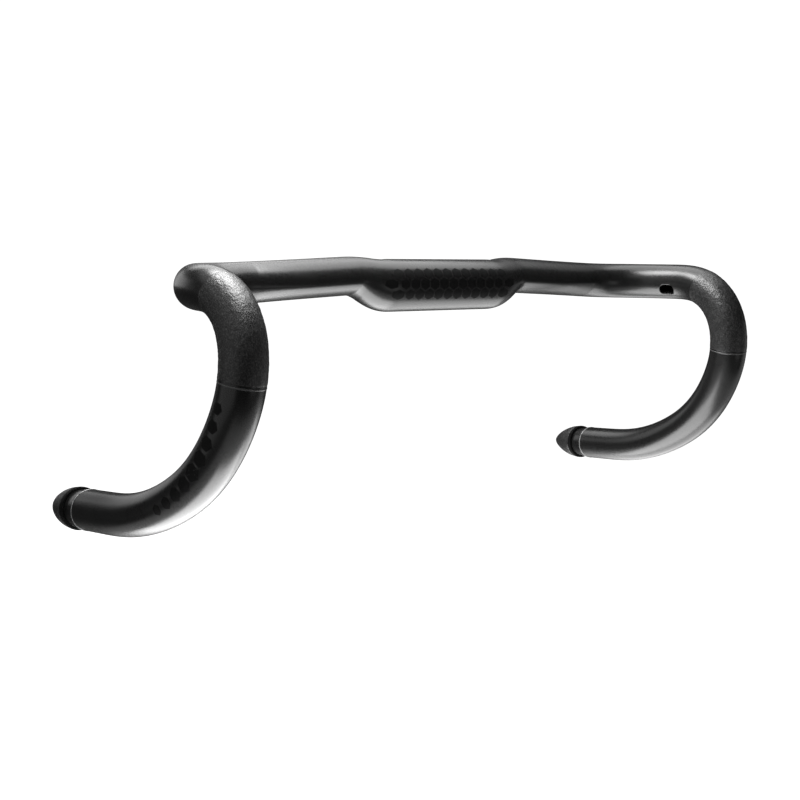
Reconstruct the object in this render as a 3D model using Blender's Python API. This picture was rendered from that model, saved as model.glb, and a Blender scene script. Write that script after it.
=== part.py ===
# Road drop handlebar in carbon fibre, with aero tops.
#
# Frame: origin at the centre of the stem clamp zone, +X to the rider's right,
# +Y forwards (the riding direction), +Z up. Metres.
#
# The bar is a hollow tube swept along a centreline: a round stem clamp zone,
# a wing on each side, a corner bend, a level lever ramp, and a hook made of
# four arcs that opens out towards a straight bar end. It comes in three
# bonded sections, with a ferrule inside each joint. Each bar end holds an
# expander plug: an acorn cap with a threaded stud, turned by hand, draws a
# wedge nut into a slotted sleeve.

import math

import bpy
import bmesh
from mathutils import Matrix, Vector

MM = 0.001

# ---- driving dimensions, millimetres and degrees ---------------------------
CLAMP_R = 15.9          # stem clamp zone, 31.8 mm across
CLAMP_HALF = 40.0       # half length of the round zone
CLAMP_RUN = 26.0        # length of the change from round to wing
WING_BACK = -6.2        # the wing's centreline, behind the clamp's
WING_UP = 6.2           # and above it
WING_SWEEP = 0.013      # forward slope of the wing, per mm outwards
WING_FALL = -0.049      # downward slope of the wing
SLOPE_FROM = 55.0       # where both slopes begin
TOP_HALF = 132.7        # end of the wing, start of the corner bend
WING_HEIGHT = 23.0      # wing section, top to bottom
WING_FORE = 17.5        # wing section, centreline to leading edge
WING_AFT = 19.5         # wing section, centreline to trailing edge
WING_EDGE_LOW = 3.6     # the leading edge sits this far below mid height
WING_FADE = 96.0        # the wing starts to turn round from here
CORNER_LEN = 86.0       # centreline length of the corner bend
TOE = 5.4               # the hooks lean out by this angle, in plan
FLARE = 4.6             # and by this angle seen from the front
RAMP = -0.76            # slope of the lever ramp
RAMP_LEN = 81.3         # corner start to the first hook arc
HOOK_ARCS = ((34.4, 79.5), (48.8, 29.6), (93.0, 38.0), (157.0, 27.8))  # radius, turn
END_RUN = 50.0          # straight run at the bar end
EASE = 11.0             # half length over which one bend eases into the next
TUBE_R = 11.9           # lever seats and drops, 23.8 mm across
WALL = 2.4              # laminate
BORE_R = 9.3            # bore of the drops
SEAM_S = 144.4          # joint line, measured from the corner's start
END_S = 332.4           # end of the bar
BAND_LEN = 10.5         # the end band, where the tape is tucked in
NECK_R = 10.9           # outer radius of the end band at the bar end
GAP = 0.3               # between touching pieces

SLEEVE_HALF = 13.0      # joint ferrule, half length
SLEEVE_WALL = 1.3

PORT_S = 70.0           # cable port, on the inner side of each lever ramp
PORT_DROP = 30.0        # and this far round below level, in degrees
PORT_W, PORT_H = 12.4, 7.2
EXIT_X = 58.0           # rear lower cable port, beside the clamp zone
EXIT_W, EXIT_H = 14.0, 7.0

CAP_R = 12.3            # end plug
CAP_LEN = 28.0
RING_R = 12.6
RING_LEN = 3.0
SPIGOT_R = 6.6
SPIGOT_LEN = 4.0
EXP_R = 9.0             # expander sleeve
EXP_BORE = 4.4
EXP_LEN = 20.0
SLOT_W = 1.6
STUD_R = 2.5            # M5 stud, 0.8 mm pitch
STUD_LEN = 34.0
LUG_W = 1.0             # wedge nut lugs, in the sleeve's slots
WASHER_R, WASHER_LEN = 6.4, 0.8

SIDES = 18              # facets round the bar


# ---- scene -----------------------------------------------------------------
for old in list(bpy.data.objects):
    bpy.data.objects.remove(old, do_unlink=True)


def material(name, colour, rough, metal=0.0):
    mat = bpy.data.materials.new(name)
    mat.use_nodes = True
    shader = mat.node_tree.nodes["Principled BSDF"]
    shader.inputs["Base Color"].default_value = (*colour, 1.0)
    shader.inputs["Roughness"].default_value = rough
    shader.inputs["Metallic"].default_value = metal
    return mat


CARBON = material("satin_carbon", (0.022, 0.022, 0.024), 0.38)
DROP = material("satin_carbon_drop", (0.022, 0.022, 0.024), 0.36)
FERRULE = material("raw_carbon", (0.03, 0.03, 0.032), 0.6)
GRAINED = material("grained_cap", (0.04, 0.04, 0.042), 0.55)
RUBBER = material("black_rubber", (0.006, 0.006, 0.006), 0.7)
NYLON = material("black_nylon", (0.02, 0.02, 0.02), 0.5)
STEEL = material("zinc_steel", (0.55, 0.55, 0.56), 0.35, 1.0)
ALLOY = material("plain_alloy", (0.7, 0.7, 0.72), 0.3, 1.0)


# ---- small helpers ---------------------------------------------------------
def smooth(t):
    t = min(max(t, 0.0), 1.0)
    return t * t * (3.0 - 2.0 * t)


def mix(a, b, t):
    return a + (b - a) * t


def ramp_mean(value, half, steps=9):
    """Mean of a function of position over a window, so that bends ease in."""
    total = 0.0
    for i in range(steps):
        total += value(-half + 2.0 * half * i / (steps - 1))
    return total / steps


# ---- centreline ------------------------------------------------------------
def hook_turn(s):
    """Turn of the hook, in degrees, at a distance s along it."""
    turned = 0.0
    left = s - RAMP_LEN
    for radius, angle in HOOK_ARCS:
        length = radius * math.radians(angle)
        if left <= 0.0:
            break
        turned += angle * min(left / length, 1.0)
        left -= length
    return turned


FALL_DEG = math.degrees(math.atan(WING_FALL))
SWEEP_RAD = math.atan(WING_SWEEP)


def heading(s):
    """Unit direction of the centreline at s along the hook."""
    tilt = -ramp_mean(lambda o: hook_turn(s + o), EASE)
    tilt += mix(FALL_DEG, RAMP, smooth(s / 30.0))
    tilt = math.radians(tilt)
    around = ramp_mean(lambda o: min(max(s / CORNER_LEN + o, 0.0), 1.0), 0.18, 7)
    plan = mix(SWEEP_RAD, math.pi / 2 + math.radians(TOE), around)
    flare = math.radians(FLARE)
    return Vector((
        math.cos(tilt) * math.cos(plan) - math.sin(tilt) * math.sin(flare) * around,
        math.cos(tilt) * math.sin(plan),
        math.sin(tilt) * (1.0 - (1.0 - math.cos(flare)) * around),
    )).normalized()


def top_point(x):
    w = smooth((x - CLAMP_HALF) / CLAMP_RUN)
    out = max(x - SLOPE_FROM, 0.0)
    return Vector((x, WING_BACK * w + WING_SWEEP * out, WING_UP * w + WING_FALL * out))


STEP = 1.0
HOOK = [top_point(TOP_HALF)]
for _i in range(int(END_S + 20)):
    HOOK.append(HOOK[-1] + heading((_i + 0.5) * STEP) * STEP)


def hook_point(s):
    i = min(max(int(s / STEP), 0), len(HOOK) - 2)
    return HOOK[i].lerp(HOOK[i + 1], s / STEP - i)


def centre(q):
    """Centreline at q: x along the top up to TOP_HALF, then along the hook."""
    return top_point(q) if q <= TOP_HALF else hook_point(q - TOP_HALF)


def tangent(q):
    if q < 0.5:
        return Vector((1.0, 0.0, 0.0))
    return (centre(q + 0.5) - centre(q - 0.5)).normalized()


def frames(stations):
    """Centre, tangent, forward and up vectors at each station, without twist."""
    out = []
    up = Vector((0.0, 0.0, 1.0))
    q = 0.0
    for goal in stations:
        while q < goal:
            q = min(q + 2.0, goal)
            t = tangent(q)
            up = (up - t * up.dot(t)).normalized()
        t = tangent(goal)
        up = (up - t * up.dot(t)).normalized()
        out.append((centre(goal), t, up.cross(t).normalized(), up.copy()))
    return out


# ---- sections --------------------------------------------------------------
def wing_share(q):
    return smooth((q - CLAMP_HALF) / CLAMP_RUN) * (1.0 - smooth((q - WING_FADE) / 75.0))


def outer_radius(q):
    if q < CLAMP_HALF + CLAMP_RUN:
        return CLAMP_R
    end = TOP_HALF + END_S
    if q > end - BAND_LEN:
        return mix(TUBE_R, NECK_R, smooth((q - end + BAND_LEN) / BAND_LEN))
    return TUBE_R


def section(q, angle, inset=0.0):
    """Forward and up distances of the skin at an angle from the leading edge.

    A wing is two half superellipses that meet at the leading and trailing
    edges, below mid height, so its lower front is a flatter facet."""
    c, s = math.cos(angle), math.sin(angle)
    r = outer_radius(q)
    w = wing_share(q)
    half = WING_HEIGHT / 2.0
    low = WING_EDGE_LOW
    power = 2.0 / (2.05 if s >= 0.0 else 1.62)
    height = half + low if s >= 0.0 else half - low
    depth = WING_FORE if c >= 0.0 else WING_AFT
    wf = depth * math.copysign(abs(c) ** power, c)
    wu = -low + height * math.copysign(abs(s) ** power, s)
    f, u = mix(r * c, wf, w), mix(r * s, wu, w)
    if inset:
        reach = math.hypot(f, u)
        f, u = f * (1.0 - inset / reach), u * (1.0 - inset / reach)
    return f, u


def ring_points(frame, q, inset=0.0, radius=None, sides=SIDES):
    point, _t, fore, up = frame
    out = []
    for i in range(sides):
        angle = 2.0 * math.pi * i / sides
        if radius is None:
            f, u = section(q, angle, inset)
        else:
            f, u = radius * math.cos(angle), radius * math.sin(angle)
        out.append((point + fore * f + up * u) * MM)
    return out


def mirrored(points):
    return [Vector((-p.x, p.y, p.z)) for p in points]


# ---- mesh building ---------------------------------------------------------
def pipe(name, outer, inner, mat, flip=False):
    """A tube wall between matching outer and inner rings, closed at both ends."""
    bm = bmesh.new()
    rows_out = [[bm.verts.new(p) for p in ring] for ring in outer]
    rows_in = [[bm.verts.new(p) for p in ring] for ring in inner]
    n = len(rows_out[0])

    def skin(rows, outward):
        for a, b in zip(rows, rows[1:]):
            for i in range(n):
                j = (i + 1) % n
                quad = (a[i], a[j], b[j], b[i])
                bm.faces.new(quad if outward else quad[::-1])

    skin(rows_out, True)
    skin(rows_in, False)
    for i in range(n):
        j = (i + 1) % n
        bm.faces.new((rows_out[0][j], rows_out[0][i], rows_in[0][i], rows_in[0][j]))
        bm.faces.new((rows_out[-1][i], rows_out[-1][j], rows_in[-1][j], rows_in[-1][i]))
    return finish_mesh(bm, name, mat)


def finish_mesh(bm, name, mat, sharp=35.0):
    bmesh.ops.recalc_face_normals(bm, faces=bm.faces[:])
    mesh = bpy.data.meshes.new(name)
    bm.to_mesh(mesh)
    bm.free()
    mesh.shade_smooth()
    mesh.set_sharp_from_angle(angle=math.radians(sharp))
    mesh.materials.append(mat)
    obj = bpy.data.objects.new(name, mesh)
    bpy.context.scene.collection.objects.link(obj)
    return obj


def turned(name, profile, mat, sides=24, parent=None):
    """A solid turned about its own Z from a closed profile of (radius, z)."""
    bm = bmesh.new()
    rows = []
    for r, z in profile:
        if r < 1e-6:
            rows.append([bm.verts.new((0.0, 0.0, z * MM))])
        else:
            rows.append([
                bm.verts.new((
                    r * MM * math.cos(2 * math.pi * i / sides),
                    r * MM * math.sin(2 * math.pi * i / sides), z * MM))
                for i in range(sides)])
    closed = profile[0][0] > 1e-6
    pairs = list(zip(rows, rows[1:]))
    if closed:
        pairs.append((rows[-1], rows[0]))
    for a, b in pairs:
        for i in range(sides):
            j = (i + 1) % sides
            if len(a) == 1:
                bm.faces.new((a[0], b[j], b[i]))
            elif len(b) == 1:
                bm.faces.new((a[i], a[j], b[0]))
            else:
                bm.faces.new((a[i], a[j], b[j], b[i]))
    obj = finish_mesh(bm, name, mat)
    if parent is not None:
        obj.parent = parent
    return obj


def cut(target, cutter):
    mod = target.modifiers.new("cut_" + cutter.name, "BOOLEAN")
    mod.operation = "DIFFERENCE"
    mod.solver = "EXACT"
    mod.object = cutter
    cutter.hide_render = True
    cutter.display_type = "WIRE"


def slot_cutter(name, width, height, length):
    """A straight slot with round ends, running along its own Z."""
    bm = bmesh.new()
    outline = []
    r = height / 2.0
    run = (width - height) / 2.0
    for k in range(16):
        a = 2.0 * math.pi * (k + 0.5) / 16
        outline.append((math.copysign(run, math.cos(a)) + r * math.cos(a), r * math.sin(a)))
    low = [bm.verts.new((x * MM, y * MM, -length / 2 * MM)) for x, y in outline]
    high = [bm.verts.new((x * MM, y * MM, length / 2 * MM)) for x, y in outline]
    bm.faces.new(low[::-1])
    bm.faces.new(high)
    for i in range(16):
        j = (i + 1) % 16
        bm.faces.new((low[i], low[j], high[j], high[i]))
    return finish_mesh(bm, name, CARBON)


# ---- the three bonded sections ---------------------------------------------
TOP_STATIONS = [0.0, 20.0, 36.0, 41.0, 46.0, 51.0, 56.0, 61.0, 66.0, 80.0, 96.0, 108.0,
                120.0, 132.0]


def span(first, last, most):
    count = max(1, math.ceil((last - first) / most))
    return [mix(first, last, i / count) for i in range(count + 1)]


seam_q = TOP_HALF + SEAM_S
end_q = TOP_HALF + END_S

centre_q = TOP_STATIONS + span(143.0, seam_q - GAP / 2, 9.5)
centre_frames = frames(centre_q)
half_outer = [ring_points(f, q) for f, q in zip(centre_frames, centre_q)]


def bore_inset(q):
    """Wall thickness: the laminate in the top, down to the drop's bore."""
    return mix(WALL, TUBE_R - BORE_R, smooth((q - 150.0) / 40.0))


half_inner = [ring_points(f, q, inset=bore_inset(q)) for f, q in zip(centre_frames, centre_q)]
whole_outer = [mirrored(r) for r in half_outer[:0:-1]] + half_outer
whole_inner = [mirrored(r) for r in half_inner[:0:-1]] + half_inner
centre_section = pipe("centre_section", whole_outer, whole_inner, CARBON)

port_point, port_along, port_fore, port_up = frames([TOP_HALF + PORT_S])[0]
for side, sign in (("right", 1.0), ("left", -1.0)):
    # the ramp port looks inwards and down; its length follows the tube
    low = math.radians(PORT_DROP)
    out = port_fore * math.cos(low) - port_up * math.sin(low)
    wide = port_along
    flip = Vector((sign, 1.0, 1.0))
    spot, out, wide = ((port_point + out * TUBE_R) * flip, out * flip, wide * flip)
    port = slot_cutter("cut_ramp_port_" + side, PORT_W, PORT_H, 14.0)
    port.matrix_world = (
        Matrix.Translation(spot * MM)
        @ Matrix((wide, out.cross(wide), out)).transposed().to_4x4())
    cut(centre_section, port)
    # the exit port is on the wing's rear lower side, beside the stem
    here = centre(EXIT_X)
    port = slot_cutter("cut_exit_port_" + side, EXIT_W, EXIT_H, 16.0)
    port.location = Vector((sign * here.x, here.y - 9.0, here.z - 13.0)) * MM
    port.rotation_euler = (math.radians(-35.0), 0.0, 0.0)
    cut(centre_section, port)

drop_q = span(seam_q + GAP / 2, end_q - BAND_LEN, 11.0) + span(end_q - BAND_LEN, end_q, 3.2)[1:]
drop_frames = frames(drop_q)
drop_outer = [ring_points(f, q) for f, q in zip(drop_frames, drop_q)]
drop_inner = [ring_points(f, q, radius=BORE_R) for f, q in zip(drop_frames, drop_q)]
pipe("right_drop", drop_outer, drop_inner, DROP)
pipe("left_drop", [mirrored(r) for r in drop_outer], [mirrored(r) for r in drop_inner], DROP)

ferrule_q = span(seam_q - SLEEVE_HALF, seam_q + SLEEVE_HALF, 5.5)
ferrule_frames = frames(ferrule_q)
outside = BORE_R * math.cos(math.pi / SIDES) - GAP
ferrule_outer = [ring_points(f, q, radius=outside) for f, q in zip(ferrule_frames, ferrule_q)]
ferrule_inner = [ring_points(f, q, radius=outside - SLEEVE_WALL)
                 for f, q in zip(ferrule_frames, ferrule_q)]
pipe("right_joint_sleeve", ferrule_outer, ferrule_inner, FERRULE)
pipe("left_joint_sleeve", [mirrored(r) for r in ferrule_outer],
     [mirrored(r) for r in ferrule_inner], FERRULE)


# ---- the end plugs ---------------------------------------------------------
def acorn(z0):
    """Cap profile: base, short rim, then a pointed dome to a rounded tip."""
    points = [(CAP_R - 0.5, z0), (CAP_R, z0 + 0.5)]
    steps = 11
    for i in range(1, steps):
        t = i / steps
        points.append((CAP_R * (1.0 - t ** 1.55) ** 0.74, z0 + 0.5 + (CAP_LEN - 0.5) * t))
    points.append((0.0, z0 + CAP_LEN))
    return points


def plug(side, sign):
    """One expander plug, built along its own +Z, which points out of the bar."""
    point, along, _f, _u = frames([end_q])[0]
    point = Vector((sign * point.x, point.y, point.z)) * MM
    along = Vector((sign * along.x, along.y, along.z))
    turn = along.to_track_quat("Z", "Y")
    axis = bpy.data.objects.new(side + "_plug_axis", None)
    axis.location = point
    axis.rotation_mode = "QUATERNION"
    axis.rotation_quaternion = turn
    bpy.context.scene.collection.objects.link(axis)

    z_ring = GAP
    z_cap = z_ring + RING_LEN + GAP
    z_tip = z_cap + CAP_LEN

    # the cap: dome outside, spigot inside, with a blind hole for the stud
    dome = acorn(z_cap)
    z_spigot = z_cap - SPIGOT_LEN
    stud_hole = STUD_R + GAP
    profile = (
        [(stud_hole, z_cap + 9.0), (stud_hole, z_spigot), (SPIGOT_R, z_spigot), (SPIGOT_R, z_cap)]
        + dome)
    # the profile runs from the blind hole's end out over the dome to the axis
    profile = [(0.0, z_cap + 9.0)] + profile
    turned(side + "_end_cap", profile, GRAINED, parent=axis)

    ring = [(SPIGOT_R + GAP, z_ring), (RING_R - 0.5, z_ring), (RING_R, z_ring + 0.5),
            (RING_R, z_ring + RING_LEN - 0.5), (RING_R - 0.5, z_ring + RING_LEN),
            (SPIGOT_R + GAP, z_ring + RING_LEN)]
    turned(side + "_seal_ring", ring, RUBBER, parent=axis)

    z_washer = z_spigot - GAP - WASHER_LEN
    washer = [(STUD_R + GAP, z_washer), (WASHER_R, z_washer),
              (WASHER_R, z_washer + WASHER_LEN), (STUD_R + GAP, z_washer + WASHER_LEN)]
    turned(side + "_stud_washer", washer, STEEL, parent=axis, sides=20)

    # slotted sleeve, with a taper at its inner end for the nut
    z_top = z_washer - GAP
    z_end = z_top - EXP_LEN
    taper = 7.0
    grip = EXP_R - GAP
    sleeve = [(EXP_BORE, z_top), (EXP_BORE, z_end + taper), (EXP_BORE + 3.2, z_end),
              (EXP_R, z_end), (EXP_R, z_end + 3.0), (grip, z_end + 4.0), (EXP_R, z_end + 5.0),
              (EXP_R, z_end + 8.0), (grip, z_end + 9.0), (EXP_R, z_end + 10.0), (EXP_R, z_top)]
    body = turned(side + "_expander_sleeve", sleeve[::-1], NYLON, parent=axis)
    for k in range(2):
        bm = bmesh.new()
        bmesh.ops.create_cube(bm, size=1.0)
        bmesh.ops.scale(bm, vec=Vector((4 * EXP_R, SLOT_W, 14.0)) * MM, verts=bm.verts[:])
        slot = finish_mesh(bm, "cut_slot_%s_%d" % (side, k), NYLON)
        slot.parent = axis
        slot.location = (0.0, 0.0, (z_end - 14.0 / 2 + 13.0) * MM)
        slot.rotation_euler = (0.0, 0.0, math.radians(90.0 * k))
        cut(body, slot)

    # wedge nut: a cone that sits in the taper, with four lugs in the slots
    slope = 3.2 / taper
    z_nose = z_end + 4.4
    bite = EXP_BORE + (z_end + taper - z_nose) * slope - 0.42
    z_big = z_end - 2.2
    wide = bite + (z_nose - z_big) * slope
    nut = [(STUD_R + GAP, z_nose), (STUD_R + GAP, z_big - 3.0), (wide, z_big - 3.0),
           (wide, z_big), (bite, z_nose)]
    wedge = turned(side + "_wedge_nut", nut[::-1], ALLOY, parent=axis)
    for k in range(4):
        bm = bmesh.new()
        bmesh.ops.create_cube(bm, size=1.0)
        bmesh.ops.scale(bm, vec=Vector((4.6, LUG_W, 6.0)) * MM, verts=bm.verts[:])
        bmesh.ops.translate(bm, vec=Vector((6.2, 0.0, z_end + 0.8)) * MM, verts=bm.verts[:])
        lug = finish_mesh(bm, "add_lug_%s_%d" % (side, k), ALLOY)
        lug.parent = axis
        lug.rotation_euler = (0.0, 0.0, math.radians(90.0 * k))
        cut(wedge, lug)
        wedge.modifiers[-1].operation = "UNION"

    # the stud turns with the cap and carries the nut
    z_stud = z_cap + 8.6
    stud = [(0.0, z_stud - STUD_LEN - 0.6), (STUD_R - 0.6, z_stud - STUD_LEN - 0.6),
            (STUD_R, z_stud - STUD_LEN), (STUD_R, z_stud), (0.0, z_stud)]
    turned(side + "_threaded_stud", stud, STEEL, parent=axis, sides=20)
    return axis, z_tip


plug("right", 1.0)
plug("left", -1.0)
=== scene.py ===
# Looks of the drop handlebar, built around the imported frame.
#
# The bar's skins are swept again from the same rules as the solids, much finer:
# the lever seats get their real grit, the ports their rounded lips, the drops
# their two raised lines, and the end plugs their grain, thread and slots.
# Metres, same frame as the solids: +X rider's right, +Y forwards, +Z up.

import math

import bpy
import bmesh
import numpy as np
from mathutils import Matrix, Vector


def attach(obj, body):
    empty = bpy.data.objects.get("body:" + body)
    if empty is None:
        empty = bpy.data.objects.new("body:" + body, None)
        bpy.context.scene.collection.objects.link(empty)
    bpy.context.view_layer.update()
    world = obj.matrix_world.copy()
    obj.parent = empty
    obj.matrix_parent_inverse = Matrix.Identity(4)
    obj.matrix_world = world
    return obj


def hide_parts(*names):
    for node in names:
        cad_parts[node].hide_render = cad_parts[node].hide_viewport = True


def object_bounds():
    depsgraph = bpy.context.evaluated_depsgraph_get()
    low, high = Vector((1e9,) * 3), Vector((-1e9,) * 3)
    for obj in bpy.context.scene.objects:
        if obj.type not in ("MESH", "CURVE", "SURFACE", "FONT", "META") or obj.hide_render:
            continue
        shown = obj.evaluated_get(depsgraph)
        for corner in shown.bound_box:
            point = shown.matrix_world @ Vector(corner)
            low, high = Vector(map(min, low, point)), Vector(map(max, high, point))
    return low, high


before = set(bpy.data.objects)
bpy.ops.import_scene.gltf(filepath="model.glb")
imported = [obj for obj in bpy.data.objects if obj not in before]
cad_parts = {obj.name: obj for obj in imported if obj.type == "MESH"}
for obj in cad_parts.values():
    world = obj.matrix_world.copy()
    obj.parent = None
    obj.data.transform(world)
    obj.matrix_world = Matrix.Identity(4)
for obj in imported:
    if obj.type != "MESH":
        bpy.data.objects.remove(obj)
CAD_LOW, CAD_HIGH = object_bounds()

MM = 0.001

# ---- the bar's dimensions, millimetres and degrees --------------------------
CLAMP_R, CLAMP_HALF, CLAMP_RUN = 15.9, 40.0, 26.0
WING_BACK, WING_UP, WING_SWEEP, WING_FALL, SLOPE_FROM = -6.2, 6.2, 0.013, -0.049, 55.0
TOP_HALF = 132.7
WING_HEIGHT, WING_FORE, WING_AFT, WING_EDGE_LOW, WING_FADE = 23.0, 17.5, 19.5, 3.6, 96.0
CORNER_LEN, TOE, FLARE = 86.0, 5.4, 4.6
RAMP, RAMP_LEN, EASE = -0.76, 81.3, 11.0
HOOK_ARCS = ((34.4, 79.5), (48.8, 29.6), (93.0, 38.0), (157.0, 27.8))
TUBE_R, WALL, BORE_R = 11.9, 2.4, 9.3
SEAM_S, END_S, BAND_LEN, NECK_R, GAP = 144.4, 332.4, 10.5, 10.9, 0.3
GRIT_FROM = 93.6        # the lever seat's grit runs from here to the joint line
PORT_S, PORT_DROP, PORT_W, PORT_H = 70.0, 30.0, 12.4, 7.2
EXIT_X, EXIT_W, EXIT_H = 58.0, 14.0, 7.0
CAP_R, CAP_LEN, RING_R, RING_LEN = 12.3, 28.0, 12.6, 3.0
SPIGOT_R, SPIGOT_LEN = 6.6, 4.0
EXP_R, EXP_BORE, EXP_LEN, SLOT_W = 9.0, 4.4, 20.0, 1.6
STUD_R, STUD_LEN, PITCH = 2.5, 34.0, 0.8
LUG_W, WASHER_R, WASHER_LEN = 1.0, 6.4, 0.8

SEAM_Q = TOP_HALF + SEAM_S
END_Q = TOP_HALF + END_S


# ---- centreline and frames ---------------------------------------------------
def smooth(t):
    t = np.clip(t, 0.0, 1.0)
    return t * t * (3.0 - 2.0 * t)


def softer(t):
    """Like smooth, but its curvature starts and ends at nothing too."""
    t = np.clip(t, 0.0, 1.0)
    return t * t * t * (t * (6.0 * t - 15.0) + 10.0)


def mix(a, b, t):
    return a + (b - a) * t


def hook_turn(s):
    turned, left = 0.0, s - RAMP_LEN
    for radius, angle in HOOK_ARCS:
        length = radius * math.radians(angle)
        if left <= 0.0:
            break
        turned += angle * min(left / length, 1.0)
        left -= length
    return turned


def window_mean(value, half, steps):
    return sum(value(-half + 2.0 * half * i / (steps - 1)) for i in range(steps)) / steps


FALL_DEG = math.degrees(math.atan(WING_FALL))
SWEEP_RAD = math.atan(WING_SWEEP)


def heading(s):
    tilt = -window_mean(lambda o: hook_turn(s + o), EASE, 9)
    tilt = math.radians(tilt + mix(FALL_DEG, RAMP, float(smooth(s / 30.0))))
    around = window_mean(lambda o: min(max(s / CORNER_LEN + o, 0.0), 1.0), 0.18, 7)
    plan = mix(SWEEP_RAD, math.pi / 2 + math.radians(TOE), around)
    flare = math.radians(FLARE)
    way = np.array((
        math.cos(tilt) * math.cos(plan) - math.sin(tilt) * math.sin(flare) * around,
        math.cos(tilt) * math.sin(plan),
        math.sin(tilt) * (1.0 - (1.0 - math.cos(flare)) * around)))
    return way / np.linalg.norm(way)


def top_point(x):
    w = float(softer((x - CLAMP_HALF + 2.0) / (CLAMP_RUN + 4.0)))
    out = max(x - SLOPE_FROM, 0.0)
    return np.array((x, WING_BACK * w + WING_SWEEP * out, WING_UP * w + WING_FALL * out))


FINE = 0.5                                   # step of the centreline's table
SPOTS = [top_point(x) for x in np.arange(0.0, TOP_HALF, FINE)]
KNEE = len(SPOTS)                            # the first spot past the wing
_last, _s = top_point(TOP_HALF), 0.0
_first = KNEE * FINE - TOP_HALF
_last = _last + heading(_first / 2) * _first
_s = _first
SPOTS.append(_last)
while _s < END_S + 12.0:
    _last = _last + heading(_s + FINE / 2) * FINE
    _s += FINE
    SPOTS.append(_last)
SPOTS = np.array(SPOTS)
WAYS = np.gradient(SPOTS, axis=0)
WAYS[0] = (1.0, 0.0, 0.0)
WAYS /= np.linalg.norm(WAYS, axis=1)[:, None]
_up = np.array((0.0, 0.0, 1.0))
UPS = []
for _t in WAYS:
    _up = _up - _t * _up.dot(_t)
    _up /= np.linalg.norm(_up)
    UPS.append(_up)
UPS = np.array(UPS)
FORES = np.cross(UPS, WAYS)


def along(table, q):
    """A table of the centreline read at q, an array, in millimetres."""
    at = np.clip(q / FINE, 0.0, len(table) - 1.001)
    i = at.astype(int)
    t = (at - i)[..., None]
    return table[i] * (1.0 - t) + table[i + 1] * t


# ---- sections ------------------------------------------------------------------
def wing_share(q):
    return softer((q - CLAMP_HALF + 2.0) / (CLAMP_RUN + 4.0)) * (1.0 - smooth((q - WING_FADE) / 75.0))


def outer_radius(q):
    neck = smooth((q - END_Q + BAND_LEN) / BAND_LEN)
    return np.where(q < CLAMP_HALF + CLAMP_RUN + 2.5, CLAMP_R, mix(TUBE_R, NECK_R, neck))


def section(q, angle):
    c, s = np.cos(angle), np.sin(angle)
    r, w = outer_radius(q), wing_share(q)
    half, low = WING_HEIGHT / 2.0, WING_EDGE_LOW
    power = np.where(s >= 0.0, 2.0 / 2.05, 2.0 / 1.62)
    height = np.where(s >= 0.0, half + low, half - low)
    depth = np.where(c >= 0.0, WING_FORE, WING_AFT)
    wf = depth * np.sign(c) * np.abs(c) ** power
    wu = -low + height * np.sign(s) * np.abs(s) ** power
    return mix(r * c, wf, w), mix(r * s, wu, w)


def skin(place, angle, rise=0.0):
    """Points of the bar's surface, metres. place is q, negative on the left side;
    rise lifts them off the skin. Also the straightened tube's coordinates."""
    place, angle, rise = np.broadcast_arrays(
        np.asarray(place, float), np.asarray(angle, float), np.asarray(rise, float))
    q = np.abs(place)
    f, u = section(q, angle)
    reach = np.hypot(f, u)
    f, u = f * (1.0 + rise / reach), u * (1.0 + rise / reach)
    spot = along(SPOTS, q) + along(FORES, q) * f[..., None] + along(UPS, q) * u[..., None]
    spot[..., 0] *= np.where(place < 0.0, -1.0, 1.0)
    return spot * MM, np.stack((place, f, u), axis=-1)


def wall_at(q):
    return mix(WALL, TUBE_R - BORE_R, smooth((q - 150.0) / 40.0))


# ---- noise for real surface relief ------------------------------------------------
def lattice(ix, iy, iz, seed):
    h = (ix.astype(np.uint64) * np.uint64(73856093)) ^ (iy.astype(np.uint64) * np.uint64(19349663)) \
        ^ (iz.astype(np.uint64) * np.uint64(83492791)) ^ np.uint64(seed * 2654435761 % (1 << 32))
    h = (h ^ (h >> np.uint64(13))) * np.uint64(1274126177)
    h = h ^ (h >> np.uint64(16))
    return (h & np.uint64(0xFFFFF)).astype(float) / float(0xFFFFF)


def noise(points, size, seed):
    """Smooth value noise from 0 to 1 at points, an (..., 3) array, with cells of that size."""
    p = points / size + 5000.0
    i = np.floor(p).astype(np.int64)
    t = p - i
    t = t * t * (3.0 - 2.0 * t)
    total = 0.0
    for dx in (0, 1):
        for dy in (0, 1):
            for dz in (0, 1):
                w = (t[..., 0] if dx else 1 - t[..., 0]) * (t[..., 1] if dy else 1 - t[..., 1]) \
                    * (t[..., 2] if dz else 1 - t[..., 2])
                total = total + w * lattice(i[..., 0] + dx, i[..., 1] + dy, i[..., 2] + dz, seed)
    return total


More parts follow.
